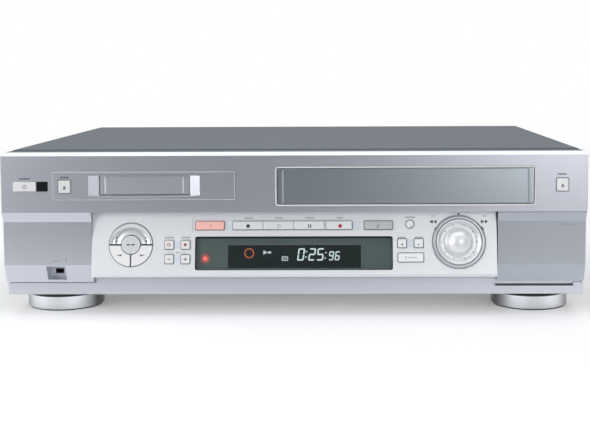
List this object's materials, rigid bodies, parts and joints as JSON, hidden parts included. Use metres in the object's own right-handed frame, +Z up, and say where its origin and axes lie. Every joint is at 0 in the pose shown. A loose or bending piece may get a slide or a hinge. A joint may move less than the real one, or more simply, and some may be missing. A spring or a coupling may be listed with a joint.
{
  "type": "dual cassette video recorder",
  "caption": "Home video recorder with a full-size tape bay, a small-cassette bay, a sloping control plate with jog dial and display, and a pull-down socket door.",
  "frame": {"origin": "centre of the box that holds the recorder, on the surface that it stands on", "axes": "+X the viewer's right when facing the front, +Y from front to back, +Z up"},
  "size_m": [0.455, 0.3538, 0.1295],
  "materials": {
    "cover_paint": "fine satin grey-blue paint",
    "front_silver": "metallic silver paint, fine flake",
    "plate_silver": "bright metallic silver paint",
    "door_silver": "metallic silver paint",
    "bright_trim": "polished",
    "button_silver": "satin silver",
    "button_lit": "translucent, lit pink",
    "button_grey": "satin grey",
    "dial_silver": "spun satin",
    "smoked_window": "smoked",
    "display_black": "gloss",
    "black_plastic": "fine grain",
    "zinc_steel": "zinc plated",
    "foot_metal": "turned and polished",
    "rubber": "matt",
    "board_green": "solder mask",
    "socket_nickel": "nickel plated",
    "drum_aluminium": "turned"
  },
  "bodies": {
    "housing": {"top_cover": "cover_paint", "bottom_chassis": "zinc_steel", "rear_panel": "cover_paint", "front_panel": "front_silver", "control_panel": "plate_silver", "base_trim": "front_silver", "mini_surround": "front_silver", "tape_door_trim": "bright_trim", "display_window": "smoked_window", "display_module": "display_black", "sensor_window": "display_black", "dub_bezel": "button_grey", "front_jack_block": "black_plastic", "link_socket": "black_plastic", "front_board": "board_green", "feet": "foot_metal", "foot_pads": "rubber", "rear_jacks": "black_plastic", "antenna_connectors": "socket_nickel", "mains_inlet": "black_plastic", "main_board": "board_green", "power_supply": "board_green", "screws": "zinc_steel", "tape_deck": "zinc_steel", "tape_drum_base": "drum_aluminium", "mini_deck": "zinc_steel"},
    "tape_door": {"tape_door": "door_silver"},
    "mini_tape_door": {"mini_tape_door": "door_silver"},
    "jack_door": {"jack_door": "front_silver"},
    "jog_dial": {"jog_dial": "dial_silver"},
    "shuttle_ring": {"shuttle_ring": "dial_silver"},
    "tape_slide_frame": {"tape_slide_frame": "zinc_steel"},
    "tape_carrier": {"tape_carrier": "zinc_steel"},
    "supply_reel": {"supply_reel": "black_plastic"},
    "takeup_reel": {"takeup_reel": "black_plastic"},
    "tape_capstan": {"tape_capstan": "zinc_steel"},
    "tape_drum": {"tape_drum": "drum_aluminium"},
    "mini_slide_frame": {"mini_slide_frame": "zinc_steel"},
    "mini_carrier": {"mini_carrier": "zinc_steel"},
    "mini_drum": {"mini_drum": "drum_aluminium"},
    "power_button": {"power_button": "button_silver"},
    "mini_eject_button": {"mini_eject_button": "button_silver"},
    "tape_eject_button": {"tape_eject_button": "button_silver"},
    "mini_select_button": {"mini_select_button": "button_lit"},
    "stop_button": {"stop_button": "button_silver"},
    "play_button": {"play_button": "button_silver"},
    "pause_button": {"pause_button": "button_silver"},
    "record_button": {"record_button": "button_silver"},
    "tape_select_button": {"tape_select_button": "button_grey"},
    "insert_button": {"insert_button": "button_silver"},
    "audio_dub_button": {"audio_dub_button": "button_silver"},
    "channel_down_button": {"channel_down_button": "button_silver"},
    "channel_up_button": {"channel_up_button": "button_silver"},
    "edit_button": {"edit_button": "button_silver"},
    "start_button": {"start_button": "button_silver"},
    "in_out_button": {"in_out_button": "button_silver"},
    "mode_button": {"mode_button": "button_silver"},
    "dub_left_button": {"dub_left_button": "button_silver"},
    "dub_right_button": {"dub_right_button": "button_silver"},
    "dub_centre_button": {"dub_centre_button": "button_silver"}
  },
  "joints": [
    {"name": "tape_door_hinge", "type": "hinge", "parent": "housing", "child": "tape_door", "pos_m": [0.0869, -0.16821, 0.1198], "axis": [1, 0, 0], "range_deg": [0, 90], "stiffness_Nm_per_rad": 0.006, "springref_deg": -22.92},
    {"name": "mini_tape_door_hinge", "type": "hinge", "parent": "housing", "child": "mini_tape_door", "pos_m": [-0.1158, -0.16761, 0.113], "axis": [1, 0, 0], "range_deg": [0, 90], "stiffness_Nm_per_rad": 0.002, "springref_deg": -22.92},
    {"name": "jack_door_hinge", "type": "hinge", "parent": "housing", "child": "jack_door", "pos_m": [0.193, -0.16101, 0.0286], "axis": [1, 0, 0], "range_deg": [0, 90]},
    {"name": "jog_dial_spin", "type": "hinge", "parent": "housing", "child": "jog_dial", "pos_m": [0.1286, -0.16943, 0.0582], "axis": [0, -0.9818, 0.1899], "continuous": true},
    {"name": "shuttle_ring_turn", "type": "hinge", "parent": "housing", "child": "shuttle_ring", "pos_m": [0.1286, -0.16943, 0.0582], "axis": [0, -0.9818, 0.1899], "range_deg": [-75, 75], "stiffness_Nm_per_rad": 0.01},
    {"name": "tape_carrier_travel", "type": "slide", "parent": "housing", "child": "tape_slide_frame", "axis": [0, 1, 0], "range_m": [0, 0.06]},
    {"name": "tape_carrier_drop", "type": "slide", "parent": "tape_slide_frame", "child": "tape_carrier", "axis": [0, 0, -1], "range_m": [0, 0.026]},
    {"name": "supply_reel_spin", "type": "hinge", "parent": "housing", "child": "supply_reel", "pos_m": [0.0409, -0.02451, 0.0436], "axis": [0, 0, 1], "continuous": true},
    {"name": "takeup_reel_spin", "type": "hinge", "parent": "housing", "child": "takeup_reel", "pos_m": [0.1329, -0.02451, 0.0436], "axis": [0, 0, 1], "continuous": true},
    {"name": "capstan_spin", "type": "hinge", "parent": "housing", "child": "tape_capstan", "pos_m": [0.1449, 0.03499, 0.0436], "axis": [0, 0, 1], "continuous": true},
    {"name": "tape_drum_spin", "type": "hinge", "parent": "housing", "child": "tape_drum", "pos_m": [0.0869, 0.06999, 0.0476], "axis": [0, 0.1045, 0.9945], "continuous": true},
    {"name": "mini_carrier_travel", "type": "slide", "parent": "housing", "child": "mini_slide_frame", "axis": [0, 1, 0], "range_m": [0, 0.03]},
    {"name": "mini_carrier_drop", "type": "slide", "parent": "mini_slide_frame", "child": "mini_carrier", "axis": [0, 0, -1], "range_m": [0, 0.012]},
    {"name": "mini_drum_spin", "type": "hinge", "parent": "housing", "child": "mini_drum", "pos_m": [-0.1158, -0.05276, 0.06928], "axis": [0, 0, 1], "continuous": true},
    {"name": "power_button_press", "type": "slide", "parent": "housing", "child": "power_button", "axis": [0, 1, 0], "range_m": [0, 0.0008], "stiffness_N_per_m": 500, "springref_m": -0.0006},
    {"name": "mini_eject_button_press", "type": "slide", "parent": "housing", "child": "mini_eject_button", "axis": [0, 1, 0], "range_m": [0, 0.0008], "stiffness_N_per_m": 500, "springref_m": -0.0006},
    {"name": "tape_eject_button_press", "type": "slide", "parent": "housing", "child": "tape_eject_button", "axis": [0, 1, 0], "range_m": [0, 0.0008], "stiffness_N_per_m": 500, "springref_m": -0.0006},
    {"name": "mini_select_button_press", "type": "slide", "parent": "housing", "child": "mini_select_button", "axis": [0, 0.9818, -0.1899], "range_m": [0, 0.0008], "stiffness_N_per_m": 500, "springref_m": -0.0006},
    {"name": "stop_button_press", "type": "slide", "parent": "housing", "child": "stop_button", "axis": [0, 0.9818, -0.1899], "range_m": [0, 0.0008], "stiffness_N_per_m": 500, "springref_m": -0.0006},
    {"name": "play_button_press", "type": "slide", "parent": "housing", "child": "play_button", "axis": [0, 0.9818, -0.1899], "range_m": [0, 0.0008], "stiffness_N_per_m": 500, "springref_m": -0.0006},
    {"name": "pause_button_press", "type": "slide", "parent": "housing", "child": "pause_button", "axis": [0, 0.9818, -0.1899], "range_m": [0, 0.0008], "stiffness_N_per_m": 500, "springref_m": -0.0006},
    {"name": "record_button_press", "type": "slide", "parent": "housing", "child": "record_button", "axis": [0, 0.9818, -0.1899], "range_m": [0, 0.0008], "stiffness_N_per_m": 500, "springref_m": -0.0006},
    {"name": "tape_select_button_press", "type": "slide", "parent": "housing", "child": "tape_select_button", "axis": [0, 0.9818, -0.1899], "range_m": [0, 0.0008], "stiffness_N_per_m": 500, "springref_m": -0.0006},
    {"name": "insert_button_press", "type": "slide", "parent": "housing", "child": "insert_button", "axis": [0, 0.9818, -0.1899], "range_m": [0, 0.0008], "stiffness_N_per_m": 500, "springref_m": -0.0006},
    {"name": "audio_dub_button_press", "type": "slide", "parent": "housing", "child": "audio_dub_button", "axis": [0, 0.9818, -0.1899], "range_m": [0, 0.0008], "stiffness_N_per_m": 500, "springref_m": -0.0006},
    {"name": "channel_down_button_press", "type": "slide", "parent": "housing", "child": "channel_down_button", "axis": [0, 0.9818, -0.1899], "range_m": [0, 0.0008], "stiffness_N_per_m": 500, "springref_m": -0.0006},
    {"name": "channel_up_button_press", "type": "slide", "parent": "housing", "child": "channel_up_button", "axis": [0, 0.9818, -0.1899], "range_m": [0, 0.0008], "stiffness_N_per_m": 500, "springref_m": -0.0006},
    {"name": "edit_button_press", "type": "slide", "parent": "housing", "child": "edit_button", "axis": [0, 0.9818, -0.1899], "range_m": [0, 0.0008], "stiffness_N_per_m": 500, "springref_m": -0.0006},
    {"name": "start_button_press", "type": "slide", "parent": "housing", "child": "start_button", "axis": [0, 0.9818, -0.1899], "range_m": [0, 0.0008], "stiffness_N_per_m": 500, "springref_m": -0.0006},
    {"name": "in_out_button_press", "type": "slide", "parent": "housing", "child": "in_out_button", "axis": [0, 0.9818, -0.1899], "range_m": [0, 0.0008], "stiffness_N_per_m": 500, "springref_m": -0.0006},
    {"name": "mode_button_press", "type": "slide", "parent": "housing", "child": "mode_button", "axis": [0, 0.9818, -0.1899], "range_m": [0, 0.0008], "stiffness_N_per_m": 500, "springref_m": -0.0006},
    {"name": "dub_left_button_press", "type": "slide", "parent": "housing", "child": "dub_left_button", "axis": [0, 0.9818, -0.1899], "range_m": [0, 0.0008], "stiffness_N_per_m": 500, "springref_m": -0.0006},
    {"name": "dub_right_button_press", "type": "slide", "parent": "housing", "child": "dub_right_button", "axis": [0, 0.9818, -0.1899], "range_m": [0, 0.0008], "stiffness_N_per_m": 500, "springref_m": -0.0006},
    {"name": "dub_centre_button_press", "type": "slide", "parent": "housing", "child": "dub_centre_button", "axis": [0, 0.9818, -0.1899], "range_m": [0, 0.0008], "stiffness_N_per_m": 500, "springref_m": -0.0006}
  ]
}
